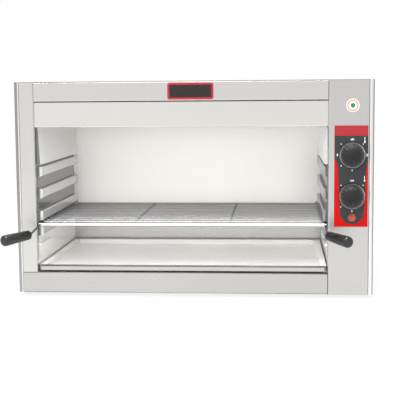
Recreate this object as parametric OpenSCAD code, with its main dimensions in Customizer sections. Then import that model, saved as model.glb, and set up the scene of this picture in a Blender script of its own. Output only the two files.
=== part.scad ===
// Counter-top electric cheese melter (salamander grill).
// A folded stainless case, open at the front, holds two tubular heaters under a canopy, a wire rack that
// slides on ribbed guides, a shallow drip tray, and a control column with two thermostats and a lamp.
// Case coordinates: X from the middle of the case, Y back from the front face, Z up from the underside.

/* [Case] */
// Width of the case over its side panels
body_w = 650; // [600:1:760]
// Height of the case, without the feet
body_h = 387; // [380:1:420]
// Depth of the case from the front face to the back cover
body_d = 380; // [376:1:440]
// Thickness of the stainless sheet
sheet = 1.2; // [1:0.1:1.5]
// Height of the rubber feet
foot_h = 8; // [6:1:12]

/* [Front frame] */
// Width of the left stile with the side panel's hem
left_frame_w = 36.3; // [34:0.1:44]
// Width of the control column with the side panel's hem
control_w = 81.5; // [80:0.5:96]
// Height of the top rail
top_rail_h = 35.5; // [33:0.5:42]
// Height of the bottom rail
bottom_rail_h = 38; // [36:1:44]
// Width of the closed hem at the front edge of each side panel
hem_w = 8.8; // [8:0.1:9]
// Visible height of the header skirt that hides the heaters
skirt_h = 45.7; // [40:0.1:46]

/* [Cavity] */
// Depth of the cavity from the front face to the back liner
cavity_d = 350; // [346:1:352]
// Height of the top edge of the highest rack rib
top_rib_z = 231.5; // [225:0.5:236]
// Distance from one rack rib to the next
rib_pitch = 41; // [38:0.5:42]
// Height of one rack rib
rib_h = 18; // [14:0.5:20]
// Height of the ledge that carries the rack
rack_rest_z = 122.2; // [118:0.2:125]
// Distance that a rib stands out from the guide's back
rib_out = 7.7; // [6:0.1:9]

/* [Rack] */
// Diameter of the rack's frame bar
bar_d = 6; // [5:0.5:6]
// Diameter of the rack's wires
wire_d = 2.5; // [2:0.1:3]
// Number of wires across the rack
wire_count = 13; // [9:1:16]
// Gap between the rack and the opening on each side
rack_gap = 2; // [2:0.1:3]
// Diameter of the handle rod
handle_d = 4; // [3.5:0.1:5]
// Diameter of the grip at its rod end
grip_d1 = 16.8; // [13:0.1:17]
// Diameter of the grip at its free end
grip_d2 = 20; // [17:0.1:20]

/* [Drip tray] */
// Height of the tray from its floor to its rim
tray_h = 12; // [10:1:16]
// Width of the tray's rim
tray_rim = 10; // [8:0.5:14]

/* [Controls] */
// Diameter of a thermostat knob
knob_d = 46.5; // [40:0.5:47]
// Depth of a thermostat knob
knob_h = 24; // [20:1:28]
// Height of the upper knob's axis
upper_knob_z = 253; // [247:1:255]
// Distance between the two knob axes
knob_pitch = 73.5; // [68:0.5:74]
// Diameter of the thermostat's spindle
spindle_d = 6; // [5:0.5:6]
// Width of the control plate
plate_w = 59.8; // [54:0.1:60]
// Height of the control plate
plate_h = 181.5; // [176:0.5:186]

/* [Heaters] */
// Diameter of the heater tube
tube_d = 8; // [6.5:0.5:8.5]
// Distance between neighbouring legs of a heater
leg_pitch = 28; // [24:1:30]

/* [Services] */
// Diameter of the bore through the cable gland
gland_bore = 10; // [8:0.5:11]
// Distance that the cable gland stands out from the back cover
gland_out = 22; // [18:1:26]
// Diameter of the earth stud
stud_d = 6; // [5:1:6]

/* [Hidden] */
$fn = 48;

// colours
steel = [0.80, 0.80, 0.79];
bright_steel = [0.88, 0.88, 0.87];
pale_steel = [0.92, 0.91, 0.89];
black_plastic = [0.13, 0.13, 0.14];
wool = [0.87, 0.85, 0.78];
brass = [0.80, 0.66, 0.35];

// the case's main planes
half_w = body_w / 2;
open_x0 = -half_w + left_frame_w;
open_x1 = half_w - control_w;
open_z0 = bottom_rail_h;
open_z1 = body_h - top_rail_h;
cavity_x = (open_x0 + open_x1) / 2;
low_back_z = 124;
front_edge = half_w - hem_w - 0.2;
lid_z = body_h - sheet;
hem_d = 6;
hem_nose_r = 2.2;
hem_slant = 35;
hem_t = 1.4;
flange_up = 22;
return_d = 16;
tight_bend = 1.6;
soft_bend = 3;

// the header skirt and the canopy behind it
skirt_y = 3;
skirt_d = 14;
skirt_z0 = 304.5;
skirt_z1 = skirt_z0 + skirt_h;
canopy_z = skirt_z1 - 2 * sheet;
liner_gap = 0.2;

// the rack guides
guide_y0 = 12;
guide_y1 = 336;
guide_z0 = 104;
guide_z1 = top_rib_z + 3;
rib_bend = 2.5;
rib_tops = [top_rib_z, top_rib_z - rib_pitch, top_rib_z - 2 * rib_pitch, rack_rest_z];
ledge_z = 87;
ledge_y0 = 18;
ledge_y1 = 92;
ledge_out = 5;
reflector_out = 5.2;

// the rack, its handles and the grips
rack_front_y = 8;
rack_back_y = 334;
rack_z = rack_rest_z + 0.3 + bar_d / 2;
rack_side = (open_x1 - open_x0) / 2 - rack_gap - bar_d / 2;
side_bar_d = bar_d - 0.5;
wire_end = (open_x1 - open_x0) / 2 - rib_out - wire_d / 2 - 0.6;
wire_turn_up = 5;
wire_bend = 3;
wire_pitch = (rack_back_y - rack_front_y - 20) / (wire_count - 1);
cross_bar_x = 88;
cross_bar_d = 4;
handle_root = [-rack_side, rack_front_y, rack_z];
handle_bend = handle_root + [-1, -70, -8.5];
grip_run = [-36, -53, -4.5];
grip_dir = grip_run / norm(grip_run);
grip_offset = 2.6;
grip_len = norm(grip_run) - grip_offset;
grip_bore_depth = 48;
grip_round = 6;
grip_end = handle_bend + grip_run - grip_dir * grip_round;
grip_front_y = grip_end[1] - (grip_d2 / 2 - grip_round) * sqrt(1 - grip_dir[1] * grip_dir[1]) - grip_round;

// the drip tray
tray_gap = 1.6;
tray_y0 = 3;
tray_y1 = 341;
tray_z = open_z0 + 0.4;
tray_half = (open_x1 - open_x0) / 2 - tray_gap;
tray_lip_h = 9;
tray_corner = 4;

// the controls, on the control column
control_x = half_w - 39;
lower_knob_z = upper_knob_z - knob_pitch;
plate_z0 = upper_knob_z - 129;
plate_x0 = half_w - 70.6;
plate_t = 0.8;
lamp_z = lower_knob_z - 39;
lamp_hole = 12.8;
neck_d = 10;
neck_hole = 10.8;
thermostat_y = 40;
running_gap = 0.05;
spindle_y0 = -18;
spindle_y1 = 24;
knob_back_y = -plate_t - 1.6;
flute_count = 14;
knob_rim_h = 4.6;
knob_step = 0.6;
knob_round = 9.65;
label_x = half_w - 38.5;
label_z = 341;
label_d = 23.5;
badge_w = 83;
badge_h = 30;
badge_x = -2.3;
badge_z = 368.5;
badge_t = 1.5;

// the heaters
heater_z = 322;
front_heater_y = 60;
rear_heater_y = 205;
heater_x0 = -262;
heater_x1 = open_x1 + 20;
hanger_x = [-200, -22, 156];
hanger_hole = tube_d + 0.8;
// the Y of each end of the heaters, where they pass the right wall
heater_ends = [front_heater_y, front_heater_y + 3 * leg_pitch, rear_heater_y, rear_heater_y + 3 * leg_pitch];

// the thermostats' sensor bulbs over the heaters
sensor_z = 338;
sensor_y = [172, 188];
sensor_x = open_x1 - 22;
sensor_d = 6.4;
capillary_d = 1.8;

// the terminal block on the base pan
block_x0 = 262;
block_w = 50;
block_y = [272, 294];
block_top = 26;

// screws and feet
screw_d = 4;
screw_hole = 4.3;
side_screw_y = [40, 190, 340];
back_screw_x = [-290, -100, 100, 290];
screw_z = [12, body_h - 10];
foot_d = 32;
foot_inset_x = 60;
foot_inset_y = 62;
foot_places = [for (x = [-half_w + foot_inset_x, half_w - foot_inset_x],
    y = [foot_inset_y, body_d - foot_inset_y]) [x, y]];

// services on the back cover
gland_x = 285;
gland_z = 70;
gland_thread_d = 20;
earth_x = 250;
earth_z = 50;

// the frame's origin is under the middle of the whole part's box
front_y = -(grip_front_y + body_d + gland_out) / 2;

// ---------------------------------------------------------------- shared shapes

// puts a piece drawn in case coordinates onto the feet, in the part's frame
module seated() translate([0, front_y, foot_h]) children();

module slab(low, high) translate(low) cube(high - low);

module bar_x(y, z, d, x0, x1) translate([x0, y, z]) rotate([0, 90, 0]) cylinder(d = d, h = x1 - x0);
module bar_y(x, z, d, y0, y1) translate([x, y1, z]) rotate([90, 0, 0]) cylinder(d = d, h = y1 - y0);
module bar_z(x, y, d, z0, z1) translate([x, y, z0]) cylinder(d = d, h = z1 - z0);

// a straight round rod from a to b, tapered where d2 is given
module rod(a, b, d1, d2 = 0) {
    v = b - a;
    length = norm(v);
    translate(a)
        rotate([0, acos(v[2] / length), atan2(v[1], v[0])])
            cylinder(d1 = d1, d2 = (d2 == 0) ? d1 : d2, h = length);
}

// a thin wire or tube through the listed points, in eight-sided runs that lap at each bend
module wire_path(points, d) {
    for (i = [0 : len(points) - 2]) {
        run = points[i + 1] - points[i];
        lap = run / norm(run) * d * 0.4;
        a = (i == 0) ? points[i] : points[i] - lap;
        b = (i == len(points) - 2) ? points[i + 1] : points[i + 1] + lap;
        rod(a, b, d, $fn = 8);
    }
}

// a profile with its x upwards and its y to the back, drawn along X
module along_x(x0, x1) translate([x1, 0, 0]) rotate([0, -90, 0]) linear_extrude(x1 - x0) children();

// a profile in x and z, drawn along Y
module along_y(y0, y1) translate([0, y1, 0]) rotate([90, 0, 0]) linear_extrude(y1 - y0) children();

// a plan in x and y, drawn along Z
module along_z(z0, z1) translate([0, 0, z0]) linear_extrude(z1 - z0) children();

// a block from x = 0 to w whose two front corners are rounded
module front_block(w, d, r0, r1) {
    translate([r0, 0]) square([w - r0 - r1, d]);
    translate([0, r0]) square([w, d - max(r0, r1)]);
    translate([0, r0]) square([r0, d - r0]);
    translate([w - r1, r1]) square([r1, d - r1]);
    translate([r0, r0]) circle(r0);
    translate([w - r1, r1]) circle(r1);
}

// a folded channel: its face lies on y = 0 and both edges are folded back
module channel(w, d, r0, r1) {
    difference() {
        front_block(w, d, r0, r1);
        translate([sheet, sheet]) front_block(w - 2 * sheet, d, r0 - sheet, r1 - sheet);
    }
}

// a rectangle with rounded corners, its lower left corner at the origin
module round_rect(w, h, r) {
    translate([r, 0]) square([w - 2 * r, h]);
    translate([0, r]) square([w, h - 2 * r]);
    for (x = [r, w - r], y = [r, h - r]) translate([x, y]) circle(r);
}

// the cavity's right side is the mirror image of its left side
module cavity_mirror() translate([2 * cavity_x, 0, 0]) mirror([1, 0, 0]) children();

// ---------------------------------------------------------------- the case

module foot_holes() {
    for (p = foot_places) bar_z(p[0], p[1], 5.4, -1, 4);
}

module side_screw_holes() {
    for (y = side_screw_y, z = screw_z) bar_x(y, z, screw_hole, -half_w - 1, half_w + 1);
}

module back_screw_holes() {
    for (x = back_screw_x, z = screw_z) bar_y(x, z, screw_hole, body_d - 6, body_d + 1);
}

// a sheet with folded edges on the left, the right and the back
module folded_lid(z0, edge_z0, edge_z1) {
    inner = half_w - sheet;
    slab([-front_edge, 0, z0], [front_edge, hem_d + 1, z0 + sheet]);
    slab([-inner, hem_d, z0], [inner, body_d - sheet, z0 + sheet]);
    slab([-inner, hem_d, edge_z0], [-inner + sheet, body_d - sheet, edge_z1]);
    slab([inner - sheet, hem_d, edge_z0], [inner, body_d - sheet, edge_z1]);
    slab([-inner, body_d - 2 * sheet, edge_z0], [inner, body_d - sheet, edge_z1]);
}

module base_pan() color(steel) seated() difference() {
    folded_lid(0, 0, flange_up);
    foot_holes();
    side_screw_holes();
    back_screw_holes();
    for (y = [90 : 14 : 202]) slab([258, y, -1], [312, y + 5, 4]);
}

module top_cover() color(steel) seated() difference() {
    folded_lid(lid_z, body_h - flange_up, body_h);
    side_screw_holes();
    back_screw_holes();
    for (x = [-216 : 18 : 216]) slab([x - 2, 268, lid_z - 2], [x + 2, 318, body_h + 1]);
    for (y = [120 : 14 : 232]) slab([262, y, lid_z - 2], [308, y + 5, body_h + 1]);
}

// the outer sheet: a slanting band at its front edge ends in a closed, rounded hem
module side_plan() {
    nose = [-half_w + hem_w - hem_nose_r, 0.2 + hem_nose_r];
    outward = [-sin(hem_slant), -cos(hem_slant)];
    touch = nose + hem_nose_r * outward;
    corner_y = touch[1] + (touch[0] + half_w) * tan(hem_slant);
    translate(nose) circle(hem_nose_r);
    polygon([[-half_w, corner_y], touch, touch - hem_t * outward, [-half_w + sheet, corner_y + 0.9],
        [-half_w + sheet, body_d - sheet], [-half_w, body_d - sheet]]);
}

module left_side_panel() color(steel) seated() difference() {
    along_z(0, body_h) side_plan();
    side_screw_holes();
}

module right_side_panel() color(steel) seated() difference() {
    mirror([1, 0, 0]) along_z(0, body_h) side_plan();
    side_screw_holes();
    for (z = [290 : 12 : 350]) slab([half_w - 3, 110, z], [half_w + 1, 190, z + 4]);
}

module back_cover() color(steel) seated() difference() {
    slab([-half_w, body_d - sheet, 0], [half_w, body_d, body_h]);
    back_screw_holes();
    bar_y(gland_x, gland_z, gland_thread_d + 0.4, body_d - 5, body_d + 1);
    bar_y(earth_x, earth_z, stud_d + 0.4, body_d - 5, body_d + 1);
    for (z = [200 : 12 : 320]) slab([254, body_d - 4, z], [310, body_d + 1, z + 4]);
}

module left_stile() color(steel) seated()
    along_z(open_z0, lid_z)
        translate([-front_edge, 0]) channel(open_x0 + front_edge, return_d, tight_bend, soft_bend);

module top_rail() color(steel) seated()
    along_x(open_x0, open_x1)
        translate([open_z1, 0]) channel(lid_z - open_z1, return_d, tight_bend, tight_bend);

module bottom_rail() color(steel) seated()
    along_x(-front_edge, open_x1 - liner_gap)
        translate([sheet, 0]) channel(open_z0 - sheet, return_d, tight_bend, tight_bend);

module control_fascia() color(steel) seated() difference() {
    along_z(sheet, lid_z)
        translate([open_x1, 0]) channel(front_edge - open_x1, return_d, soft_bend, tight_bend);
    bar_y(control_x, upper_knob_z, neck_hole, -1, 3);
    bar_y(control_x, lower_knob_z, neck_hole, -1, 3);
    bar_y(control_x, lamp_z, lamp_hole, -1, 3);
}

module header_skirt() color(steel) seated()
    along_x(open_x0 + liner_gap, open_x1 - liner_gap)
        translate([skirt_z0, skirt_y]) channel(skirt_h, skirt_d, tight_bend, tight_bend);

// one pan-head screw along -Y, its head against y = 0
module screw() {
    rotate([-90, 0, 0]) cylinder(d = screw_d, h = 8);
    rotate([90, 0, 0]) cylinder(d = 7.6, h = 1.2);
    translate([0, -1.2, 0]) rotate([90, 0, 0]) cylinder(d1 = 7.6, d2 = 4.6, h = 1.2);
}

module casing_screws() color(bright_steel) seated() {
    for (y = side_screw_y, z = screw_z) {
        translate([-half_w, y, z]) rotate([0, 0, -90]) screw();
        translate([half_w, y, z]) rotate([0, 0, 90]) screw();
    }
    for (x = back_screw_x, z = screw_z) translate([x, body_d, z]) rotate([0, 0, 180]) screw();
}

// ---------------------------------------------------------------- the cavity

// a side wall behind the stile's inner fold, with one pressed ledge below the guides
module side_liner() {
    slab([open_x0 - 2 * sheet, soft_bend, open_z0], [open_x0 - sheet, cavity_d, canopy_z + sheet]);
    slab([open_x0 - sheet, ledge_y0, ledge_z], [open_x0 + ledge_out, ledge_y1, ledge_z + sheet]);
}

module left_liner() color(bright_steel) seated() side_liner();

module right_liner() color(bright_steel) seated() difference() {
    cavity_mirror() side_liner();
    heater_wall_holes(13);
    sensor_wall_holes();
}

module back_liner() color(pale_steel) seated()
    slab([open_x0 - 2 * sheet, cavity_d, open_z0 - sheet], [open_x1 + 2 * sheet, cavity_d + sheet, canopy_z]);

module floor_liner() color(bright_steel) seated() {
    slab([open_x0 - 2 * sheet, return_d + liner_gap, open_z0 - sheet],
        [open_x1 + 2 * sheet, cavity_d, open_z0]);
    slab([open_x0 - sheet, cavity_d - sheet, open_z0], [open_x1 + sheet, cavity_d, low_back_z]);
}

module heater_canopy() color(bright_steel) seated()
    slab([open_x0 + liner_gap, skirt_y + tight_bend, canopy_z],
        [open_x1 - liner_gap, cavity_d, canopy_z + sheet]);

// a plate that leans into the cavity from the canopy down to the highest rib, its front end closed
module side_reflector() {
    wall_x = open_x0 + 0.4;
    top = [wall_x, canopy_z - 1];
    foot = [open_x0 + reflector_out, guide_z1 + 1.4];
    difference() {
        union() {
            along_y(guide_y0, cavity_d - 1) {
                polygon([top, foot, foot + [sheet, 0], top + [sheet, 0]]);
                polygon([foot, foot + [sheet, 0], foot + [sheet, sheet], [wall_x, foot[1] + sheet],
                    [wall_x, foot[1]]]);
            }
            along_y(guide_y0, guide_y0 + sheet) polygon([top, foot, [wall_x, foot[1]]]);
        }
        slab([open_x0 - 1, 0, skirt_z0 - 1.5], [open_x0 + 20, skirt_y + skirt_d + liner_gap, body_h]);
    }
}

module left_reflector() color(bright_steel) seated() side_reflector();

module right_reflector() color(bright_steel) seated() difference() {
    cavity_mirror() side_reflector();
    heater_wall_holes(17);
    sensor_wall_holes();
}

// a rib's section from the guide's back to its crest, whose two corners are rounded
module rib_section(w, h, r) {
    square([w - r, h]);
    translate([0, r]) square([w, h - 2 * r]);
    for (z = [r, h - r]) translate([w - r, z]) circle(r);
}

// everything before a slope that runs inwards from the wall at y0
module before_slope(y0) translate([open_x0, y0]) along_z(guide_z0 - 1, guide_z1 + 1)
    polygon([[-1, -20], [12, -20], [12, 12], [-1, -1]]);

// a flat back and hollow ribs whose closed front ends slope down to it
module rack_guide() {
    slope_y = guide_y0 + sheet;
    along_y(guide_y0, guide_y1)
        translate([open_x0, guide_z0]) square([sheet, guide_z1 - guide_z0]);
    for (top = rib_tops) difference() {
        along_y(guide_y0, guide_y1)
            translate([open_x0, top - rib_h]) rib_section(rib_out, rib_h, rib_bend);
        before_slope(slope_y);
        difference() {
            along_y(guide_y0, guide_y1 + 1)
                translate([open_x0 + sheet, top - rib_h + sheet])
                    rib_section(rib_out - 2 * sheet, rib_h - 2 * sheet, rib_bend - sheet);
            before_slope(slope_y + sheet * sqrt(2));
        }
    }
}

module left_rack_guide() color(bright_steel) seated() rack_guide();

module right_rack_guide() color(bright_steel) seated() cavity_mirror() rack_guide();

// ---------------------------------------------------------------- heating

module heater_wall_holes(d) {
    for (y = heater_ends) bar_x(y, heater_z, d, open_x1 - 25, open_x1 + 6);
}

module sensor_wall_holes() {
    for (y = sensor_y) bar_x(y, sensor_z, 5, open_x1 - 25, open_x1 + 6);
}

// half a ring between two legs, open towards +X
module hairpin(y, z) translate([heater_x0, y, z])
    rotate([0, 0, 90]) rotate_extrude(angle = 180) translate([leg_pitch / 2, 0]) circle(d = tube_d);

// a four-legged heater with both its ends at the control column
module heater(y) {
    inner_x = open_x1 - 45;
    for (i = [0 : 3]) {
        x1 = (i == 0 || i == 3) ? heater_x1 : inner_x;
        bar_x(y + i * leg_pitch, heater_z, tube_d, heater_x0, x1);
    }
    for (i = [0, 2]) hairpin(y + (i + 0.5) * leg_pitch, heater_z);
    translate([inner_x, y + 1.5 * leg_pitch, heater_z])
        rotate([0, 0, -90]) rotate_extrude(angle = 180) translate([leg_pitch / 2, 0]) circle(d = tube_d);
    for (i = [0, 3]) bar_x(y + i * leg_pitch, heater_z, 3.5, heater_x1, heater_x1 + 12);
}

module front_heater() color([0.42, 0.40, 0.38]) seated() heater(front_heater_y);

module rear_heater() color([0.42, 0.40, 0.38]) seated() heater(rear_heater_y);

// a threaded bush with its hexagon collar for each heater end
module heater_bushings() color(brass) seated()
    for (y = heater_ends) difference() {
        union() {
            bar_x(y, heater_z, 12.6, open_x1 - 4, open_x1 + 12);
            translate([open_x1 + 2 * sheet, y, heater_z]) rotate([0, 90, 0]) cylinder(d = 18, h = 4, $fn = 6);
        }
        bar_x(y, heater_z, tube_d + 0.1, open_x1 - 6, open_x1 + 14);
    }

// strips that hang from the canopy and carry the heater legs
module heater_hangers() color(bright_steel) seated()
    for (x = hanger_x) difference() {
        slab([x, front_heater_y - 12, heater_z - 9], [x + 1.5, rear_heater_y + 3 * leg_pitch + 12, canopy_z]);
        for (y = [front_heater_y, rear_heater_y], i = [0 : 3])
            bar_x(y + i * leg_pitch, heater_z, hanger_hole, x - 1, x + 3);
    }

module top_insulation() color(wool) seated()
    slab([open_x0, 24, skirt_z1 + 0.5], [open_x1, cavity_d, body_h - 6]);

module rear_insulation() color(wool) seated()
    slab([open_x0, cavity_d + sheet, 40], [open_x1, body_d - 6, canopy_z]);

module left_insulation() color(wool) seated()
    slab([-half_w + 4, 24, 40], [open_x0 - 2 * sheet, cavity_d, canopy_z]);

module right_insulation() color(wool) seated()
    slab([open_x1 + 2 * sheet, 24, 40], [open_x1 + 2 * sheet + 10, cavity_d, 296]);

// ---------------------------------------------------------------- controls

module control_plate() color([0.80, 0.08, 0.08]) seated() difference() {
    slab([plate_x0, -plate_t, plate_z0], [plate_x0 + plate_w, 0, plate_z0 + plate_h]);
    bar_y(control_x, upper_knob_z, neck_hole, -2, 1);
    bar_y(control_x, lower_knob_z, neck_hole, -2, 1);
    bar_y(control_x, lamp_z, lamp_hole, -2, 1);
}

// a capillary thermostat: mounting plate, neck, body and two blade terminals
module thermostat(z) difference() {
    union() {
        slab([control_x - 24, sheet, z - 14], [control_x + 24, sheet + 1.5, z + 14]);
        slab([control_x - 19, sheet + 1.5, z - 17], [control_x + 19, thermostat_y, z + 17]);
        bar_y(control_x, z, neck_d, -1.5, sheet + 1);
        for (x = [-10, 10]) slab([control_x + x - 3.1, thermostat_y, z - 8.4],
            [control_x + x + 3.1, thermostat_y + 9, z - 7.6]);
    }
    bar_y(control_x, z, spindle_d + 2 * running_gap, -3, spindle_y1 + 1);
}

module upper_thermostat() color([0.75, 0.72, 0.66]) seated() thermostat(upper_knob_z);

module lower_thermostat() color([0.75, 0.72, 0.66]) seated() thermostat(lower_knob_z);

// the spindle turns in the thermostat's neck and carries the knob
module spindle(z) bar_y(control_x, z, spindle_d, spindle_y0, spindle_y1);

module upper_spindle() color(bright_steel) seated() spindle(upper_knob_z);

module lower_spindle() color(bright_steel) seated() spindle(lower_knob_z);

// half of the knob's section: x is the radius and y the height over the control plate
module knob_section() {
    r = knob_d / 2;
    round_r = r - knob_step - 0.3 - knob_round;
    round_h = knob_h - 0.9 - knob_round;
    difference() {
        union() {
            polygon([[0, 0], [r - 0.8, 0], [r, 0.8], [r, knob_rim_h], [r - knob_step, knob_rim_h + 1],
                [round_r + knob_round, round_h], [0, round_h]]);
            translate([round_r, round_h]) intersection() {
                circle(knob_round);
                square(knob_round);
            }
            intersection() {
                translate([0, knob_h - 90]) circle(90, $fn = 180);
                square([round_r, knob_h]);
            }
        }
        translate([-1, -1]) square([r - 2, 3]);
    }
    square([7, 2.5]);
}

// a domed knob with scoops round its shoulder, whose pointer ridge is at the bottom in the off position
module knob(z) translate([control_x, knob_back_y, z]) rotate([90, 0, 0]) difference() {
    union() {
        rotate_extrude($fn = 96) knob_section();
        translate([-1.2, -knob_d / 2 + 7.5, knob_h - 3]) cube([2.4, 9, 2.6]);
    }
    for (i = [0 : flute_count - 1]) rotate([0, 0, (i + 0.5) * 360 / flute_count])
        translate([knob_d / 2 + 1, 0, knob_rim_h + 2.4]) rotate([0, -14, 0]) cylinder(d = 4.6, h = knob_h);
    translate([0, 0, -1]) cylinder(d = spindle_d, h = -spindle_y0 + knob_back_y + 1);
}

module upper_knob() color(black_plastic) seated() knob(upper_knob_z);

module lower_knob() color(black_plastic) seated() knob(lower_knob_z);

// a sensor bulb over the heaters and its capillary tube, down to the thermostat
module sensor(bulb_y0, bulb_y1, near_y, wall_y, drop_x, z) {
    bar_y(sensor_x, sensor_z, sensor_d, bulb_y0, bulb_y1);
    wire_path([[sensor_x, near_y, sensor_z], [sensor_x, wall_y, sensor_z], [drop_x, wall_y, sensor_z],
        [drop_x, thermostat_y + 22, z + 12], [drop_x, thermostat_y, z + 12]], capillary_d);
}

module upper_sensor() color([0.72, 0.45, 0.30]) seated()
    sensor(70, 150, 150, sensor_y[0], control_x + 2, upper_knob_z);

module lower_sensor() color([0.72, 0.45, 0.30]) seated()
    sensor(210, 290, 210, sensor_y[1], control_x + 6, lower_knob_z);

module lamp_bezel() color(black_plastic) seated()
    translate([control_x, -plate_t, lamp_z]) rotate([90, 0, 0]) rotate_extrude() difference() {
        union() {
            translate([6.6, 0]) square([1.9, 1.4]);
            translate([6.6, 0]) square([1.0, 2.3]);
            translate([7.6, 1.4]) circle(0.9);
        }
        translate([0, -2]) square([20, 2]);
    }

module lamp_lens() color([0.90, 0.16, 0.08]) seated()
    translate([control_x, -plate_t, lamp_z]) rotate([90, 0, 0]) rotate_extrude() {
        square([6.5, 2.2]);
        intersection() {
            translate([0, 4 - 8]) circle(8);
            square([6.5, 6]);
        }
    }

module lamp_body() color(black_plastic) seated() {
    bar_y(control_x, lamp_z, lamp_hole - 0.2, -plate_t, 26);
    bar_y(control_x, lamp_z, 17, sheet, 4);
    for (x = [-4, 4]) slab([control_x + x - 1.4, 26, lamp_z - 0.4], [control_x + x + 1.4, 34, lamp_z + 0.4]);
}

// a porcelain block with a screw over each of its three ways
module terminal_block() color([0.93, 0.92, 0.88]) seated() difference() {
    slab([block_x0, block_y[0], sheet], [block_x0 + block_w, block_y[1], block_top]);
    for (i = [0 : 2]) {
        way_x = block_x0 + 9 + i * 16;
        bar_z(way_x, (block_y[0] + block_y[1]) / 2, 6, block_top - 8, block_top + 1);
        bar_y(way_x, 12, 4, block_y[0] - 1, block_y[1] + 1);
    }
}

// insulated wires from the terminal block to the thermostats, the lamp and the heaters
module wiring_harness() color([0.75, 0.70, 0.60]) seated() {
    wire = 2.4;
    low = [block_x0 + 9, block_y[0], 12];
    blade_y = thermostat_y + 9;
    far_y = rear_heater_y + 3 * leg_pitch;
    near_y = front_heater_y + 3 * leg_pitch;
    pin_x = heater_x1 + 12;
    turn_x = pin_x + 6;
    lower_z = lower_knob_z - 8;
    upper_z = upper_knob_z - 8;
    wire_path([low, low - [0, 182, 0], [low[0], 90, lower_z], [control_x - 10, blade_y, lower_z]], wire);
    wire_path([low + [16, 0, 0], [low[0] + 16, 70, 12], [control_x - 4, 70, lamp_z],
        [control_x - 4, 34, lamp_z]], wire);
    wire_path([low + [32, 0, 0], [low[0] + 32, 110, 12], [305, 110, upper_z],
        [control_x + 10, blade_y, upper_z]], wire);
    wire_path([[control_x - 10, blade_y, upper_z], [turn_x, near_y, upper_z],
        [turn_x, near_y, heater_z], [pin_x, near_y, heater_z]], wire);
    wire_path([[control_x + 10, blade_y, lower_z], [312, 90, lower_z + 6],
        [312, far_y - 20, lower_z + 30], [turn_x, far_y, heater_z], [pin_x, far_y, heater_z]], wire);
}

module badge_plate() color([0.75, 0.10, 0.10]) seated()
    along_y(-badge_t, 0)
        translate([badge_x - badge_w / 2, badge_z - badge_h / 2]) round_rect(badge_w, badge_h, 4);

module round_label() color([0.95, 0.95, 0.93]) seated()
    bar_y(label_x, label_z, label_d, -0.4, 0);

// ---------------------------------------------------------------- feet and services

module rubber_feet() color([0.10, 0.10, 0.10]) seated()
    for (p = foot_places) translate([p[0], p[1], -foot_h]) rotate_extrude() difference() {
        polygon([[0, 0], [foot_d / 2 - 3, 0], [foot_d / 2 - 1.5, 1], [foot_d / 2, foot_h], [0, foot_h]]);
        square([5, foot_h - 3]);
        square([2.7, foot_h + 1]);
    }

module foot_screws() color(bright_steel) seated()
    for (p = foot_places) {
        bar_z(p[0], p[1], 5, -3, 9);
        bar_z(p[0], p[1], 9, -6, -3);
        translate([p[0], p[1], sheet]) difference() {
            cylinder(d = 9.2, h = 4, $fn = 6);
            translate([0, 0, -1]) cylinder(d = 5, h = 6);
        }
    }

// the gland's body, hexagon and domed nut around the bore for the mains cable
module cable_gland() color(black_plastic) seated()
    translate([gland_x, body_d, gland_z]) rotate([-90, 0, 0]) difference() {
        union() {
            translate([0, 0, -14]) cylinder(d = gland_thread_d, h = 14);
            cylinder(d = 27, h = 6, $fn = 6);
            translate([0, 0, 6]) cylinder(d = 23, h = gland_out - 11);
            translate([0, 0, gland_out - 5]) cylinder(d1 = 23, d2 = 17, h = 5);
        }
        translate([0, 0, -15]) cylinder(d = gland_bore, h = gland_out + 20);
    }

module gland_lock_nut() color(black_plastic) seated()
    translate([gland_x, body_d - sheet, gland_z]) rotate([90, 0, 0]) difference() {
        cylinder(d = 27, h = 5, $fn = 6);
        translate([0, 0, -1]) cylinder(d = gland_thread_d, h = 8);
    }

// a threaded stud with a relief groove between the outer nut and the free end
module earth_stud() color(bright_steel) seated() {
    bar_y(earth_x, earth_z, stud_d, body_d - 12, body_d + 5);
    bar_y(earth_x, earth_z, stud_d - 1, body_d + 5, body_d + 6.5);
    bar_y(earth_x, earth_z, stud_d, body_d + 6.5, body_d + 18);
}

module earth_nuts() color(brass) seated()
    for (y = [body_d - sheet - 5, body_d])
        translate([earth_x, y + 5, earth_z]) rotate([90, 0, 0]) difference() {
            cylinder(d = 11.5, h = 5, $fn = 6);
            translate([0, 0, -1]) cylinder(d = stud_d, h = 7);
        }

// ---------------------------------------------------------------- the rack

// coordinates of the rack are taken from the middle of the cavity
module in_rack() seated() translate([cavity_x, 0, 0]) children();

module rack_end_bars() {
    for (y = [rack_front_y, rack_back_y])
        bar_x(y, rack_z, bar_d, -rack_side - bar_d / 2, rack_side + bar_d / 2);
}

module rack_frame() color(bright_steel) in_rack() {
    rack_end_bars();
    for (x = [-rack_side, rack_side]) bar_y(x, rack_z, side_bar_d, rack_front_y, rack_back_y);
}

// one wire across the side bars, its ends turned up along the guides
module rack_wire(y, z) {
    straight = wire_end - wire_bend;
    bar_x(y, z, wire_d, -straight, straight);
    for (side = [0, 1]) mirror([side, 0, 0]) {
        bar_z(wire_end, y, wire_d, z + wire_bend, z + wire_turn_up);
        translate([straight, y, z + wire_bend]) rotate([90, 0, 0]) rotate([0, 0, -90])
            rotate_extrude(angle = 90) translate([wire_bend, 0]) circle(d = wire_d);
    }
}

module rack_wires() color(bright_steel) in_rack()
    for (i = [0 : wire_count - 1])
        rack_wire(rack_front_y + 10 + i * wire_pitch, rack_z + side_bar_d / 2 + wire_d / 2);

// two bars under the wires, from the front bar to the back bar
module rack_cross_bars() color(bright_steel) in_rack() difference() {
    for (x = [-cross_bar_x, cross_bar_x])
        bar_y(x, rack_z + side_bar_d / 2 - cross_bar_d / 2, cross_bar_d, rack_front_y, rack_back_y);
    rack_end_bars();
}

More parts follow.
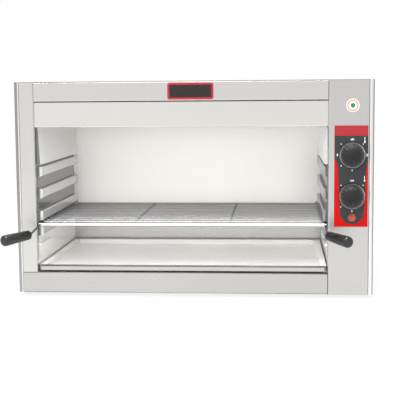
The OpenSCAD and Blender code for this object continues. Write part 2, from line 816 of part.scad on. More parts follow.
// a rod from the rack's front corner, knuckled at its bend, into the bore of the grip
module handle_rod() difference() {
    union() {
        rod(handle_root, handle_bend, handle_d);
        rod(handle_bend, handle_bend + grip_dir * (grip_offset + grip_bore_depth), handle_d);
        translate(handle_bend) sphere(d = handle_d + 0.8);
    }
    rack_end_bars();
}

module left_handle_rod() color(bright_steel) in_rack() handle_rod();

module right_handle_rod() color(bright_steel) in_rack() mirror([1, 0, 0]) handle_rod();

// half of the grip's section: x is the radius and y runs along the grip
module grip_section() {
    r1 = grip_d1 / 2;
    r2 = grip_d2 / 2;
    polygon([[0, 0], [r1 - 3, 0], [r1, 3], [r2, grip_len - grip_round], [0, grip_len - grip_round]]);
    translate([r2 - grip_round, grip_len - grip_round]) intersection() {
        circle(grip_round);
        square(grip_round);
    }
    square([r2 - grip_round, grip_len]);
}

module grip() translate(handle_bend + grip_dir * grip_offset)
    rotate([0, acos(grip_dir[2]), atan2(grip_dir[1], grip_dir[0])]) difference() {
        rotate_extrude() grip_section();
        translate([0, 0, -1]) cylinder(d = handle_d, h = grip_bore_depth + 1);
    }

module left_grip() color(black_plastic) in_rack() grip();

module right_grip() color(black_plastic) in_rack() mirror([1, 0, 0]) grip();

// ---------------------------------------------------------------- the drip tray

// a shallow pan with a flat rim, and a lip folded down along the front
module drip_tray() color(pale_steel) in_rack() {
    w = 2 * tray_half;
    length = tray_y1 - tray_y0;
    pan_w = w - 2 * tray_rim;
    pan_length = length - 2 * tray_rim;
    difference() {
        union() {
            translate([-tray_half, tray_y0, tray_z + tray_h - sheet])
                linear_extrude(sheet) round_rect(w, length, tray_corner);
            translate([-pan_w / 2, tray_y0 + tray_rim, tray_z])
                linear_extrude(tray_h - sheet) round_rect(pan_w, pan_length, tray_corner);
        }
        translate([-pan_w / 2 + sheet, tray_y0 + tray_rim + sheet, tray_z + sheet])
            linear_extrude(tray_h) round_rect(pan_w - 2 * sheet, pan_length - 2 * sheet, tray_corner - sheet);
    }
    slab([-tray_half + tray_corner, tray_y0, tray_z + tray_h - tray_lip_h],
        [tray_half - tray_corner, tray_y0 + sheet, tray_z + tray_h - sheet / 2]);
}

base_pan();
left_side_panel();
right_side_panel();
top_cover();
back_cover();
left_stile();
top_rail();
bottom_rail();
control_fascia();
header_skirt();
casing_screws();
left_liner();
right_liner();
back_liner();
floor_liner();
heater_canopy();
left_reflector();
right_reflector();
left_rack_guide();
right_rack_guide();
front_heater();
rear_heater();
heater_bushings();
heater_hangers();
top_insulation();
rear_insulation();
left_insulation();
right_insulation();
control_plate();
upper_thermostat();
lower_thermostat();
upper_spindle();
lower_spindle();
upper_knob();
lower_knob();
upper_sensor();
lower_sensor();
lamp_bezel();
lamp_lens();
lamp_body();
terminal_block();
wiring_harness();
badge_plate();
round_label();
rubber_feet();
foot_screws();
cable_gland();
gland_lock_nut();
earth_stud();
earth_nuts();
rack_frame();
rack_wires();
rack_cross_bars();
left_handle_rod();
right_handle_rod();
left_grip();
right_grip();
drip_tray();
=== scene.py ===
import math

import bmesh
import bpy
import numpy as np
from mathutils import Matrix, Vector


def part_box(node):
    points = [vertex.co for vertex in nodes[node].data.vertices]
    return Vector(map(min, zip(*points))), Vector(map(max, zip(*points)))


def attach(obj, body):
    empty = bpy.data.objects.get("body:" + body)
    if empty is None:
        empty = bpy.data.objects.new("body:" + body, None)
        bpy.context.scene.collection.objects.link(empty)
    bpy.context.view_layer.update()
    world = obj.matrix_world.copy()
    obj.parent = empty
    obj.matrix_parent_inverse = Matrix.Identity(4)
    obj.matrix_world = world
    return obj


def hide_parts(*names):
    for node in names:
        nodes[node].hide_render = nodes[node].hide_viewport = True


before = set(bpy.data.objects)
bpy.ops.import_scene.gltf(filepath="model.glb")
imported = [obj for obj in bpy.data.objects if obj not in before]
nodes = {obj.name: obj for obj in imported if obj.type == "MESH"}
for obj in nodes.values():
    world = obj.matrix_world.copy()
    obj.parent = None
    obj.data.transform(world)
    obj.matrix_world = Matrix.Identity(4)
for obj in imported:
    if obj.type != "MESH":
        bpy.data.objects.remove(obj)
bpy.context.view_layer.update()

# ------------------------------------------------------------------ camera
# A long lens, right of the middle and level with the top of the case, that looks a little down and to
# the left at the open front.
front_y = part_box("top_rail")[0].y
under_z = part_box("base_pan")[0].z
camera_place = Vector((0.1602, front_y - 1.7942, under_z + 0.3699))
camera_turn = 0.0816
camera_tilt = -0.1094
camera_roll = 0.0082
camera_lens = 90

camera = bpy.data.objects.new("camera", bpy.data.cameras.new("camera"))
bpy.context.scene.collection.objects.link(camera)
camera.data.lens = camera_lens
aim = (Matrix.Rotation(camera_turn, 4, "Z") @ Matrix.Rotation(camera_tilt, 4, "X")
       @ Matrix.Rotation(camera_roll, 4, "Y") @ Matrix.Rotation(math.pi / 2, 4, "X"))
camera.matrix_world = Matrix.Translation(camera_place) @ aim
bpy.context.scene.camera = camera
bpy.context.scene.view_settings.view_transform = "Standard"

# ------------------------------------------------------------------ light, room and floor
# A white studio: an even pale room, a soft lamp overhead, and two in front that mirrors don't show.
# Metal and glass mirror the white room. It is a little duller to the right, and grey flags shade its far
# left and right so that bent edges show. The floor keeps the object's soft shadow.
room_light = 1.0
flag_start = 0.88
flag_end = 0.96
flag_shade = 0.80
dull_start = -0.25
dull_end = 0.12
dull_shade = 0.94
lamps = {
    "soft_top": ((-0.2, -0.6, 2.2), 1.3, 60.0, True),
    "soft_front": ((-0.3, -2.6, 1.7), 1.6, 75.0, False),
    "soft_fill": ((0.0, -3.0, 0.15), 1.6, 75.0, False),
}
lamp_target = Vector((0.0, 0.0, 0.2))
floor_half = 14.0
floor_colour = (0.86, 0.86, 0.855, 1.0)
floor_glow = 0.80
glow_from = 0.7
glow_to = 2.6


def add(tree, kind, **settings):
    """A shader node of that kind: a lower-case setting is an attribute, any other one an input's value."""
    made = tree.nodes.new("ShaderNode" + kind)
    for key, value in settings.items():
        if key[0].islower():
            setattr(made, key, value)
        else:
            made.inputs[key.replace("_", " ")].default_value = value
    return made


def join(tree, source, target):
    """Links one socket to another."""
    tree.links.new(source, target)


def seen_directly(tree):
    """1 for what the camera, a mirror or glass sees, and 0 for what only gives light."""
    path = add(tree, "LightPath")
    first = add(tree, "Math", operation="MAXIMUM")
    both = add(tree, "Math", operation="MAXIMUM")
    join(tree, path.outputs["Is Camera Ray"], first.inputs[0])
    join(tree, path.outputs["Is Glossy Ray"], first.inputs[1])
    join(tree, first.outputs[0], both.inputs[0])
    join(tree, path.outputs["Is Transmission Ray"], both.inputs[1])
    return both.outputs[0]


def flag_group():
    """The room's light in a direction: duller to the right, and shaded by flags at the far sides."""
    tree = bpy.data.node_groups.new("side_flags", "ShaderNodeTree")
    tree.interface.new_socket("Way", in_out="INPUT", socket_type="NodeSocketVector")
    tree.interface.new_socket("Light", in_out="OUTPUT", socket_type="NodeSocketFloat")
    inward = tree.nodes.new("NodeGroupInput")
    outward = tree.nodes.new("NodeGroupOutput")
    unit = add(tree, "VectorMath", operation="NORMALIZE")
    split = add(tree, "SeparateXYZ")
    sideways = add(tree, "Math", operation="ABSOLUTE")
    flagged = add(tree, "MapRange", interpolation_type="SMOOTHSTEP", From_Min=flag_start, From_Max=flag_end,
                  To_Min=1.0, To_Max=flag_shade)
    dulled = add(tree, "MapRange", interpolation_type="SMOOTHSTEP", From_Min=dull_start, From_Max=dull_end,
                 To_Min=1.0, To_Max=dull_shade)
    both = add(tree, "Math", operation="MULTIPLY")
    join(tree, inward.outputs["Way"], unit.inputs[0])
    join(tree, unit.outputs[0], split.inputs[0])
    join(tree, split.outputs[0], sideways.inputs[0])
    join(tree, sideways.outputs[0], flagged.inputs["Value"])
    join(tree, split.outputs[0], dulled.inputs["Value"])
    join(tree, flagged.outputs[0], both.inputs[0])
    join(tree, dulled.outputs[0], both.inputs[1])
    join(tree, both.outputs[0], outward.inputs["Light"])
    return tree


side_flags = flag_group()


def mirrored_light(tree, way):
    """1 for what the camera sees, and the flagged light for what a mirror sees."""
    flags = add(tree, "Group", node_tree=side_flags)
    path = add(tree, "LightPath")
    either = add(tree, "Mix", data_type="FLOAT")
    either.inputs[2].default_value = 1.0
    join(tree, way, flags.inputs["Way"])
    join(tree, path.outputs["Is Glossy Ray"], either.inputs[0])
    join(tree, flags.outputs["Light"], either.inputs[3])
    return either.outputs[0]


room = bpy.data.worlds.new("white_room")
room.use_nodes = True
bpy.context.scene.world = room
room.node_tree.nodes.clear()
white = add(room.node_tree, "Background", Color=(1, 1, 1, 1))
room_way = add(room.node_tree, "TexCoord")
join(room.node_tree, mirrored_light(room.node_tree, room_way.outputs["Generated"]), white.inputs["Strength"])
even = add(room.node_tree, "Background", Color=(1, 1, 1, 1), Strength=room_light)
either = add(room.node_tree, "MixShader")
room_out = add(room.node_tree, "OutputWorld")
join(room.node_tree, seen_directly(room.node_tree), either.inputs[0])
join(room.node_tree, even.outputs[0], either.inputs[1])
join(room.node_tree, white.outputs[0], either.inputs[2])
join(room.node_tree, either.outputs[0], room_out.inputs[0])

for lamp_name, (place, width, power, in_mirrors) in lamps.items():
    lamp = bpy.data.objects.new(lamp_name, bpy.data.lights.new(lamp_name, "AREA"))
    lamp.data.shape = "DISK"
    lamp.data.size = width
    lamp.data.energy = power
    lamp.location = place
    lamp.visible_glossy = in_mirrors
    lamp.rotation_mode = "QUATERNION"
    lamp.rotation_quaternion = (lamp_target - Vector(place)).to_track_quat("-Z", "Y")
    bpy.context.scene.collection.objects.link(lamp)

floor_mesh = bpy.data.meshes.new("floor")
floor_corners = [(x * floor_half, y * floor_half, 0.0) for x, y in ((-1, -1), (1, -1), (1, 1), (-1, 1))]
floor_mesh.from_pydata(floor_corners, [], [(0, 1, 2, 3)])
floor = bpy.data.objects.new("floor", floor_mesh)
bpy.context.scene.collection.objects.link(floor)
pale = bpy.data.materials.new("pale_floor")
pale.use_nodes = True
floor_tree = pale.node_tree
floor_face = floor_tree.nodes["Principled BSDF"]
floor_face.inputs["Base Color"].default_value = floor_colour
floor_face.inputs["Roughness"].default_value = 0.9
floor_face.inputs["Specular IOR Level"].default_value = 0.0
glow = add(floor_tree, "Emission", Color=(1, 1, 1, 1))
floor_place = add(floor_tree, "TexCoord")
join(floor_tree, mirrored_light(floor_tree, floor_place.outputs["Object"]), glow.inputs["Strength"])
away = add(floor_tree, "VectorMath", operation="LENGTH")
fade = add(floor_tree, "MapRange", interpolation_type="SMOOTHSTEP", From_Min=glow_from, From_Max=glow_to,
           To_Min=floor_glow, To_Max=1.0)
share = add(floor_tree, "Math", operation="MULTIPLY")
over = add(floor_tree, "MixShader")
join(floor_tree, floor_place.outputs["Object"], away.inputs[0])
join(floor_tree, away.outputs["Value"], fade.inputs["Value"])
join(floor_tree, fade.outputs[0], share.inputs[1])
join(floor_tree, seen_directly(floor_tree), share.inputs[0])
join(floor_tree, share.outputs[0], over.inputs[0])
join(floor_tree, floor_face.outputs[0], over.inputs[1])
join(floor_tree, glow.outputs[0], over.inputs[2])
join(floor_tree, over.outputs[0], floor_tree.nodes["Material Output"].inputs[0])
floor_mesh.materials.append(pale)

# ------------------------------------------------------------------ outer sheets and front frame
# Folded 1.2 mm stainless sheet with a fine brushed grain: rails and skirt are brushed along the case,
# the stile and the control column up and down, the sides from front to back.
along_x, along_y, along_z = (3, 700, 700), (700, 3, 700), (700, 700, 3)
# each sheet gets its own tint of the one steel as painted light and shade: darker on the top cover, bottom
# rail and control column, lighter on the skirt
top_tint = (0.68, 0.668, 0.645)
cover_tint = (0.44, 0.432, 0.418)
bottom_tint = (0.565, 0.557, 0.541)
stile_tint = (0.68, 0.670, 0.648)
column_tint = (0.61, 0.602, 0.585)
skirt_tint = (0.77, 0.757, 0.735)
# painted highlight on the rolled front edge of the sides, and painted shade on its slanting outer band
hem_highlight_tint = (0.96, 0.95, 0.93)
band_shade_tint = (0.42, 0.42, 0.42)
left_band_w = 0.0072
right_band_w = 0.0026
hem_depth = 0.0044
hem_edge = 0.0003
band_full = 0.85
# painted shade on the upper fold of the bottom rail
rail_fold_shade = (0.11, 0.108, 0.105)
rail_fold_h = 0.0014
rail_fold_full = 0.0008


def brushed_group():
    """Streaks are fine noise drawn out along the brushing; Haze is slow, wide noise as from wiping."""
    tree = bpy.data.node_groups.new("brushed_grain", "ShaderNodeTree")
    tree.interface.new_socket("Stretch", in_out="INPUT", socket_type="NodeSocketVector")
    tree.interface.new_socket("Streaks", in_out="OUTPUT", socket_type="NodeSocketFloat")
    tree.interface.new_socket("Haze", in_out="OUTPUT", socket_type="NodeSocketFloat")
    inward = tree.nodes.new("NodeGroupInput")
    outward = tree.nodes.new("NodeGroupOutput")
    place = add(tree, "TexCoord")
    drawn = add(tree, "VectorMath", operation="MULTIPLY")
    fine = add(tree, "TexNoise", Scale=1.0, Detail=3.0, Roughness=0.6)
    wide = add(tree, "TexNoise", Scale=7.0, Detail=2.0, Roughness=0.5)
    join(tree, place.outputs["Object"], drawn.inputs[0])
    join(tree, inward.outputs["Stretch"], drawn.inputs[1])
    join(tree, drawn.outputs[0], fine.inputs["Vector"])
    join(tree, place.outputs["Object"], wide.inputs["Vector"])
    join(tree, fine.outputs[0], outward.inputs["Streaks"])
    join(tree, wide.outputs[0], outward.inputs["Haze"])
    return tree


brushed = brushed_group()


def finish_start(name, metallic=0.0):
    """A new material, and its tree and its main shader."""
    made = bpy.data.materials.new(name)
    made.use_nodes = True
    main = made.node_tree.nodes["Principled BSDF"]
    main.inputs["Metallic"].default_value = metallic
    return made, made.node_tree, main


def spread(tree, source, low, high, from_low=0.3, from_high=0.7):
    """A value that runs from low to high as the source goes over its middle range."""
    ranged = add(tree, "MapRange", From_Min=from_low, From_Max=from_high, To_Min=low, To_Max=high)
    join(tree, source, ranged.inputs["Value"])
    return ranged.outputs[0]


def two_tints(tree, source, dark, light):
    """The colour between two tints that the source picks."""
    mixed = add(tree, "Mix", data_type="RGBA")
    mixed.inputs[6].default_value = (*dark, 1)
    mixed.inputs[7].default_value = (*light, 1)
    join(tree, source, mixed.inputs[0])
    return mixed.outputs[2]


def bump(tree, source, main, height):
    """Tilts the surface by the source's slopes: height is the depth of the relief in metres."""
    relief = add(tree, "Bump", Strength=1.0, Distance=height)
    join(tree, source, relief.inputs["Height"])
    join(tree, relief.outputs[0], main.inputs["Normal"])


def sheet_steel(name, tint, roughness, stretch, streak=0.02, relief=0.000004, metallic=1.0):
    """Brushed stainless sheet: streaks shift its tint and slope, and they and a haze shift its gloss."""
    made, tree, main = finish_start(name, metallic)
    grain = add(tree, "Group", node_tree=brushed)
    grain.inputs["Stretch"].default_value = stretch
    both = add(tree, "Math", operation="MULTIPLY_ADD")
    both.inputs[1].default_value = 0.5
    join(tree, grain.outputs["Haze"], both.inputs[0])
    join(tree, spread(tree, grain.outputs["Streaks"], 0.0, 0.5), both.inputs[2])
    dark = [c * (1 - streak) for c in tint]
    light = [min(1.0, c * (1 + streak)) for c in tint]
    join(tree, two_tints(tree, both.outputs[0], dark, light), main.inputs["Base Color"])
    join(tree, spread(tree, both.outputs[0], roughness * 0.9, roughness * 1.12, 0.2, 0.8),
         main.inputs["Roughness"])
    bump(tree, grain.outputs["Streaks"], main, relief)
    return made


def stain(material, tint, *bands):
    """Tints a finish where a place lies in every band: a band is an axis, where it starts and where it is
    full."""
    tree = material.node_tree
    main = tree.nodes["Principled BSDF"]
    clean = main.inputs["Base Color"].links[0].from_socket
    place = add(tree, "TexCoord")
    split = add(tree, "SeparateXYZ")
    join(tree, place.outputs["Object"], split.inputs[0])
    share = None
    for axis, start, full in bands:
        band = spread(tree, split.outputs[axis], 0, 1, start, full)
        if share:
            product = add(tree, "Math", operation="MULTIPLY")
            join(tree, share, product.inputs[0])
            join(tree, band, product.inputs[1])
            band = product.outputs[0]
        share = band
    stained = add(tree, "Mix", data_type="RGBA")
    stained.inputs[7].default_value = (*tint, 1)
    join(tree, share, stained.inputs[0])
    join(tree, clean, stained.inputs[6])
    join(tree, stained.outputs[2], main.inputs["Base Color"])


def dress(material, *names):
    """Gives CAD nodes their finish."""
    for name in names:
        nodes[name].material_slots[0].material = material


dress(sheet_steel("top_steel", top_tint, 0.30, along_x), "top_rail", "back_cover")
dress(sheet_steel("cover_steel", cover_tint, 0.30, along_x), "top_cover")
dress(sheet_steel("stile_steel", stile_tint, 0.30, along_z), "left_stile")
dress(sheet_steel("column_steel", column_tint, 0.30, along_z), "control_fascia")
dress(sheet_steel("skirt_steel", skirt_tint, 0.24, along_x), "header_skirt")

# painted shade: the upper fold of the bottom rail is tinted dark for the dark gap under the tray's lip that
# it mirrors
bottom_steel = sheet_steel("bottom_steel", bottom_tint, 0.30, along_x)
rail_top_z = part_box("bottom_rail")[1].z
stain(bottom_steel, rail_fold_shade, (2, rail_top_z - rail_fold_h, rail_top_z - rail_fold_full))
dress(bottom_steel, "bottom_rail", "base_pan")

# the rolled front edge of each side gets a painted highlight, and its slanting outer part a painted shade
# for the darker room it mirrors
for name, outer, band_w in (("left_side_panel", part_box("left_side_panel")[0].x, left_band_w),
                            ("right_side_panel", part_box("right_side_panel")[1].x, -right_band_w)):
    side_steel = sheet_steel(name, stile_tint, 0.26, along_y)
    hem_back = front_y + hem_depth
    hem = (1, hem_back, hem_back - hem_edge)
    stain(side_steel, hem_highlight_tint, hem)
    stain(side_steel, band_shade_tint, hem, (0, outer + band_w, outer + band_w * band_full))
    dress(side_steel, name)

# ------------------------------------------------------------------ cavity liners, guides and reflectors
# Thinner polished stainless sheet, spot welded into a box behind the front frame. The ribs of the guides
# are pressed, and the two side reflectors lean in from the canopy.
liner_tint = (0.98, 0.975, 0.96)
# painted shade: the guides, the left reflector and the front ends of both reflectors are tinted darker than
# the liner
left_guide_shade_tint = (0.60, 0.597, 0.59)
right_guide_shade_tint = (0.20, 0.20, 0.20)
shaded_tint = (0.73, 0.73, 0.73)
left_end_shade = (0.11, 0.11, 0.115)
right_end_shade = (0.32, 0.317, 0.31)
back_tint = (0.85, 0.835, 0.81)
ledge_tint = (0.62, 0.615, 0.605)
canopy_tint = (0.78, 0.76, 0.73)
left_recess_shade = (0.12, 0.123, 0.135)
right_recess_shade = (0.07, 0.07, 0.075)
recess_depth = 0.0025
end_reach = 0.0013
end_edge = 0.0001
fine_relief = 0.000001

dress(sheet_steel("polished_liner", liner_tint, 0.15, along_y, 0.01, fine_relief, metallic=0.15),
      "left_liner", "right_liner")
dress(sheet_steel("floor_sheet", ledge_tint, 0.25, along_x, 0.01, fine_relief, metallic=0.8),
      "floor_liner")
dress(sheet_steel("back_sheet", back_tint, 0.42, along_x, 0.004, fine_relief / 2, metallic=0.35),
      "back_liner")
dress(sheet_steel("canopy_sheet", canopy_tint, 0.30, along_x, 0.04), "heater_canopy", "heater_hangers")

# painted shade: the guides are tinted darker than the liner they are pressed in, the right one far darker,
# and darker still where a guide lies back between its ribs and mirrors little light
left_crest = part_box("left_rack_guide")[1].x
right_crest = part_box("right_rack_guide")[0].x
for name, crest, inwards, tint, deep_tint, metallic, gloss in (
        ("left_rack_guide", left_crest, 1, left_guide_shade_tint, left_recess_shade, 0.55, 0.5),
        ("right_rack_guide", right_crest, -1, right_guide_shade_tint, right_recess_shade, 0.12, 0.1)):
    guide_steel = sheet_steel(name, tint, 0.15, along_y, 0.01, fine_relief, metallic)
    guide_steel.node_tree.nodes["Principled BSDF"].inputs["Specular IOR Level"].default_value = gloss
    stain(guide_steel, deep_tint, (0, crest - inwards * recess_depth, crest - inwards * 2 * recess_depth))
    dress(guide_steel, name)

# the left reflector gets a painted shade tint, and the closed front ends of both reflectors painted shade,
# the left one darker
for name, tint, end_tint, metallic in (("left_reflector", shaded_tint, left_end_shade, 0.30),
                                       ("right_reflector", liner_tint, right_end_shade, 0.15)):
    reflector_steel = sheet_steel(name, tint, 0.15, along_y, 0.01, fine_relief, metallic)
    end_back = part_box(name)[0].y + end_reach
    stain(reflector_steel, end_tint, (1, end_back, end_back - end_edge))
    dress(reflector_steel, name)

# ------------------------------------------------------------------ heaters
# Two tubular heaters of dark, heat-tinted alloy, each bent into four legs, held by hangers under the
# canopy and by brass bushes in the right wall.
heater_tube = 0.008
leg_pitch = 0.028
hairpin_steps = 12
pin_length = 0.012
pin_radius = 0.00175
inner_bend_run = 0.065


def skin(grid, wrap_columns=False):
    """Points and faces of a grid, rows by columns by three: each cell of the grid is one face."""
    rows, columns = grid.shape[:2]
    index = np.arange(rows * columns).reshape(rows, columns)
    if wrap_columns:
        index = np.hstack([index, index[:, :1]])
    cells = np.stack([index[:-1, :-1], index[:-1, 1:], index[1:, 1:], index[1:, :-1]], axis=-1)
    return grid.reshape(-1, 3), cells.reshape(-1, 4)


def piece(name, skins, material, body, replaces=(), sharp=35):
    """One object from several skins, its doubles merged and its faces turned outwards, on its body."""
    starts = np.cumsum([0] + [len(points) for points, _ in skins])
    points = np.vstack([points for points, _ in skins])
    faces = np.vstack([cells + start for (_, cells), start in zip(skins, starts)])
    mesh = bpy.data.meshes.new(name)
    mesh.from_pydata(points.tolist(), [], faces.tolist())
    cleaner = bmesh.new()
    cleaner.from_mesh(mesh)
    bmesh.ops.remove_doubles(cleaner, verts=cleaner.verts, dist=1e-6)
    bmesh.ops.recalc_face_normals(cleaner, faces=cleaner.faces)
    for edge in cleaner.edges:
        edge.smooth = edge.is_manifold and edge.calc_face_angle() < math.radians(sharp)
    cleaner.to_mesh(mesh)
    cleaner.free()
    mesh.shade_smooth()
    mesh.materials.append(material)
    made = bpy.data.objects.new(name, mesh)
    bpy.context.scene.collection.objects.link(made)
    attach(made, body)
    if replaces:
        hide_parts(*replaces)
    return made


def tube(path, radius, sides=16, chamfer=0.0004):
    """A round skin along a path: a ring stands across every point, and both ends close over a chamfer."""
    path = np.asarray(path, float)
    run = np.diff(path, axis=0)
    run /= np.linalg.norm(run, axis=1)[:, None]
    ahead = np.vstack([run[:1], run[:-1] + run[1:], run[-1:]])
    ahead /= np.linalg.norm(ahead, axis=1)[:, None]
    side = np.cross(ahead[0], (0.0, 0.0, 1.0) if abs(ahead[0][2]) < 0.9 else (1.0, 0.0, 0.0))
    sides_at = []
    for direction in ahead:
        side = side - direction * (side @ direction)
        side = side / np.linalg.norm(side)
        sides_at.append(side)
    across = np.array(sides_at)
    upward = np.cross(ahead, across)
    place = np.vstack([path[:1], path[:1], path[:1] + ahead[:1] * chamfer, path[1:-1],
                       path[-1:] - ahead[-1:] * chamfer, path[-1:], path[-1:]])
    across = np.vstack([across[:1], across[:1], across, across[-1:], across[-1:]])
    upward = np.vstack([upward[:1], upward[:1], upward, upward[-1:], upward[-1:]])
    size = np.full(len(place), radius)
    size[[0, -1]] = 0.0
    size[[1, -2]] = radius - chamfer
    angle = np.linspace(0, 2 * math.pi, sides, endpoint=False)
    ring = (across[:, None] * np.cos(angle)[:, None] + upward[:, None] * np.sin(angle)[:, None])
    return skin(place[:, None] + ring * size[:, None, None], wrap_columns=True)


heater_finish, heater_tree, heater_main = finish_start("heater_oxide", 0.8)
heater_noise = add(heater_tree, "TexNoise", Scale=90.0, Detail=4.0, Roughness=0.6)
heater_place = add(heater_tree, "TexCoord")
join(heater_tree, heater_place.outputs["Object"], heater_noise.inputs["Vector"])
join(heater_tree, two_tints(heater_tree, heater_noise.outputs[0], (0.09, 0.08, 0.075), (0.24, 0.21, 0.18)),
     heater_main.inputs["Base Color"])
join(heater_tree, spread(heater_tree, heater_noise.outputs[0], 0.4, 0.6), heater_main.inputs["Roughness"])
bump(heater_tree, heater_noise.outputs[0], heater_main, 0.0001)

for heater in ("front_heater", "rear_heater"):
    low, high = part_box(heater)
    z = (low.z + high.z) / 2
    first_y = low.y + heater_tube / 2
    turn_x = low.x + heater_tube / 2 + leg_pitch / 2
    pin_x = high.x
    end_x = pin_x - pin_length
    inner_x = end_x - inner_bend_run
    leg_y = [first_y + i * leg_pitch for i in range(4)]
    half_turn = np.linspace(-math.pi / 2, math.pi / 2, hairpin_steps + 1)
    bends = []
    for x, side, y in ((turn_x, -1, leg_y[0]), (inner_x, 1, leg_y[1]), (turn_x, -1, leg_y[2])):
        ring_x = x + side * np.cos(half_turn) * leg_pitch / 2
        ring_y = y + leg_pitch / 2 + np.sin(half_turn) * leg_pitch / 2
        bends.append(np.stack([ring_x, ring_y, np.full_like(ring_x, z)], axis=1))
    path = np.vstack([[(end_x, leg_y[0], z)], *bends, [(end_x, leg_y[3], z)]])
    pins = [tube([(end_x, y, z), (pin_x, y, z)], pin_radius, sides=10) for y in (leg_y[0], leg_y[3])]
    piece(heater, [tube(path, heater_tube / 2), *pins], heater_finish, "case", [heater])

# ------------------------------------------------------------------ rack
# A grid of bright wire on a welded frame of thicker bar. Thirteen wires lie across the side bars and
# turn up at their ends, and two thinner bars run under them from front to back.
rack_bar = 0.006
side_bar = 0.0055
wire = 0.0025
wires = 13
cross_bar = 0.004
wire_corner = 0.003
bar_tint = (0.97, 0.97, 0.96)
# painted shade: the wires are tinted far darker than the bars, and the flank tint darkens both where they
# turn from view
shaded_wire_tint = (0.46, 0.46, 0.46)
flank_shade_tint = (0.16, 0.16, 0.165)
nearly_straight = 0.01


def rounded(path, radius, steps=6):
    """The path with every inner corner turned into an arc that touches both of its runs."""
    path = np.asarray(path, float)
    out = [path[:1]]
    for before, corner, after in zip(path[:-2], path[1:-1], path[2:]):
        u = (before - corner) / np.linalg.norm(before - corner)
        v = (after - corner) / np.linalg.norm(after - corner)
        half = math.acos(np.clip(u @ v, -1, 1)) / 2
        if half > math.pi / 2 - nearly_straight:
            out.append(corner[None])
            continue
        middle = (u + v) / np.linalg.norm(u + v)
        centre = corner + middle * radius / math.sin(half)
        side = (u - v) / np.linalg.norm(u - v)
        sweep = math.pi / 2 - half
        turn = np.linspace(-sweep, sweep, steps + 1)[:, None]
        out.append(centre - middle * radius * np.cos(turn) - side * radius * np.sin(turn))
    out.append(path[-1:])
    return np.vstack(out)


def drawn_wire(name, tint, roughness):
    """Bright drawn wire: slow mottling in its tint and gloss, and painted shade on its flanks where they
    turn from view.
    """
    made, tree, main = finish_start(name, 1.0)
    mottle = add(tree, "TexNoise", Scale=160.0, Detail=3.0, Roughness=0.5)
    place = add(tree, "TexCoord")
    join(tree, place.outputs["Object"], mottle.inputs["Vector"])
    turned = add(tree, "LayerWeight", Blend=0.5)
    edge = add(tree, "Mix", data_type="RGBA", blend_type="MULTIPLY")
    edge.inputs[7].default_value = (*flank_shade_tint, 1)
    join(tree, spread(tree, turned.outputs["Facing"], 0, 1, 0.15, 0.55), edge.inputs[0])
    join(tree, two_tints(tree, mottle.outputs[0], [c * 0.9 for c in tint], tint), edge.inputs[6])
    join(tree, edge.outputs[2], main.inputs["Base Color"])
    join(tree, spread(tree, mottle.outputs[0], roughness, roughness + 0.08), main.inputs["Roughness"])
    return made


bar_steel = drawn_wire("rack_bar", bar_tint, 0.07)
wire_steel = drawn_wire("rack_wire", shaded_wire_tint, 0.16)

low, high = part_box("rack_frame")
rack_z = (low.z + high.z) / 2
rack_x = [low.x + rack_bar / 2, high.x - rack_bar / 2]
rack_y = [low.y + rack_bar / 2, high.y - rack_bar / 2]
rack_middle = (low.x + high.x) / 2
end_bars = [tube([(low.x, y, rack_z), (high.x, y, rack_z)], rack_bar / 2, sides=24, chamfer=0.001)
            for y in rack_y]
side_bars = [tube([(x, rack_y[0], rack_z), (x, rack_y[1], rack_z)], side_bar / 2, sides=20) for x in rack_x]
piece("rack_frame", end_bars + side_bars, bar_steel, "rack", ["rack_frame"])

low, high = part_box("rack_wires")
wire_x = [low.x + wire / 2, high.x - wire / 2]
wire_z = low.z + wire / 2
laid = []
for y in np.linspace(low.y + wire / 2, high.y - wire / 2, wires):
    bent = rounded([(wire_x[0], y, high.z), (wire_x[0], y, wire_z), (wire_x[1], y, wire_z),
                    (wire_x[1], y, high.z)], wire_corner)
    laid.append(tube(bent, wire / 2, sides=12, chamfer=0.0003))
piece("rack_wires", laid, wire_steel, "rack", ["rack_wires"])

low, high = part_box("rack_cross_bars")
cross_z = (low.z + high.z) / 2
cross_x = [low.x + cross_bar / 2, high.x - cross_bar / 2]
crossing = [tube([(x, rack_y[0], cross_z), (x, rack_y[1], cross_z)], cross_bar / 2, sides=14)
            for x in cross_x]
piece("rack_cross_bars", crossing, bar_steel, "rack", ["rack_cross_bars"])

# ------------------------------------------------------------------ handles
# A bent rod is welded to each front corner of the rack and pushed into a tapered grip of black moulded
# plastic with a domed end.
handle_rod = 0.004
rod_bend = 0.006
rod_out = np.array([-0.001, -0.070, -0.0085])
grip_run = np.array([-0.036, -0.053, -0.0045])
grip_gap = 0.0026
rod_in_grip = 0.02
grip_small = 0.0168 / 2
grip_big = 0.0200 / 2
dome = 0.006
near_round = 0.003


def speckle_group():
    """Grain is the fine orange-peel of moulded plastic; Rub is a slow pattern of handling."""
    tree = bpy.data.node_groups.new("moulded_grain", "ShaderNodeTree")
    tree.interface.new_socket("Size", in_out="INPUT", socket_type="NodeSocketFloat")
    tree.interface.new_socket("Grain", in_out="OUTPUT", socket_type="NodeSocketFloat")
    tree.interface.new_socket("Rub", in_out="OUTPUT", socket_type="NodeSocketFloat")
    inward = tree.nodes.new("NodeGroupInput")
    outward = tree.nodes.new("NodeGroupOutput")
    place = add(tree, "TexCoord")
    fine = add(tree, "TexNoise", Detail=2.0, Roughness=0.5)
    slow = add(tree, "TexNoise", Scale=60.0, Detail=3.0, Roughness=0.6)
    join(tree, place.outputs["Object"], fine.inputs["Vector"])
    join(tree, inward.outputs["Size"], fine.inputs["Scale"])
    join(tree, place.outputs["Object"], slow.inputs["Vector"])
    join(tree, fine.outputs[0], outward.inputs["Grain"])
    join(tree, slow.outputs[0], outward.inputs["Rub"])
    return tree


moulded = speckle_group()


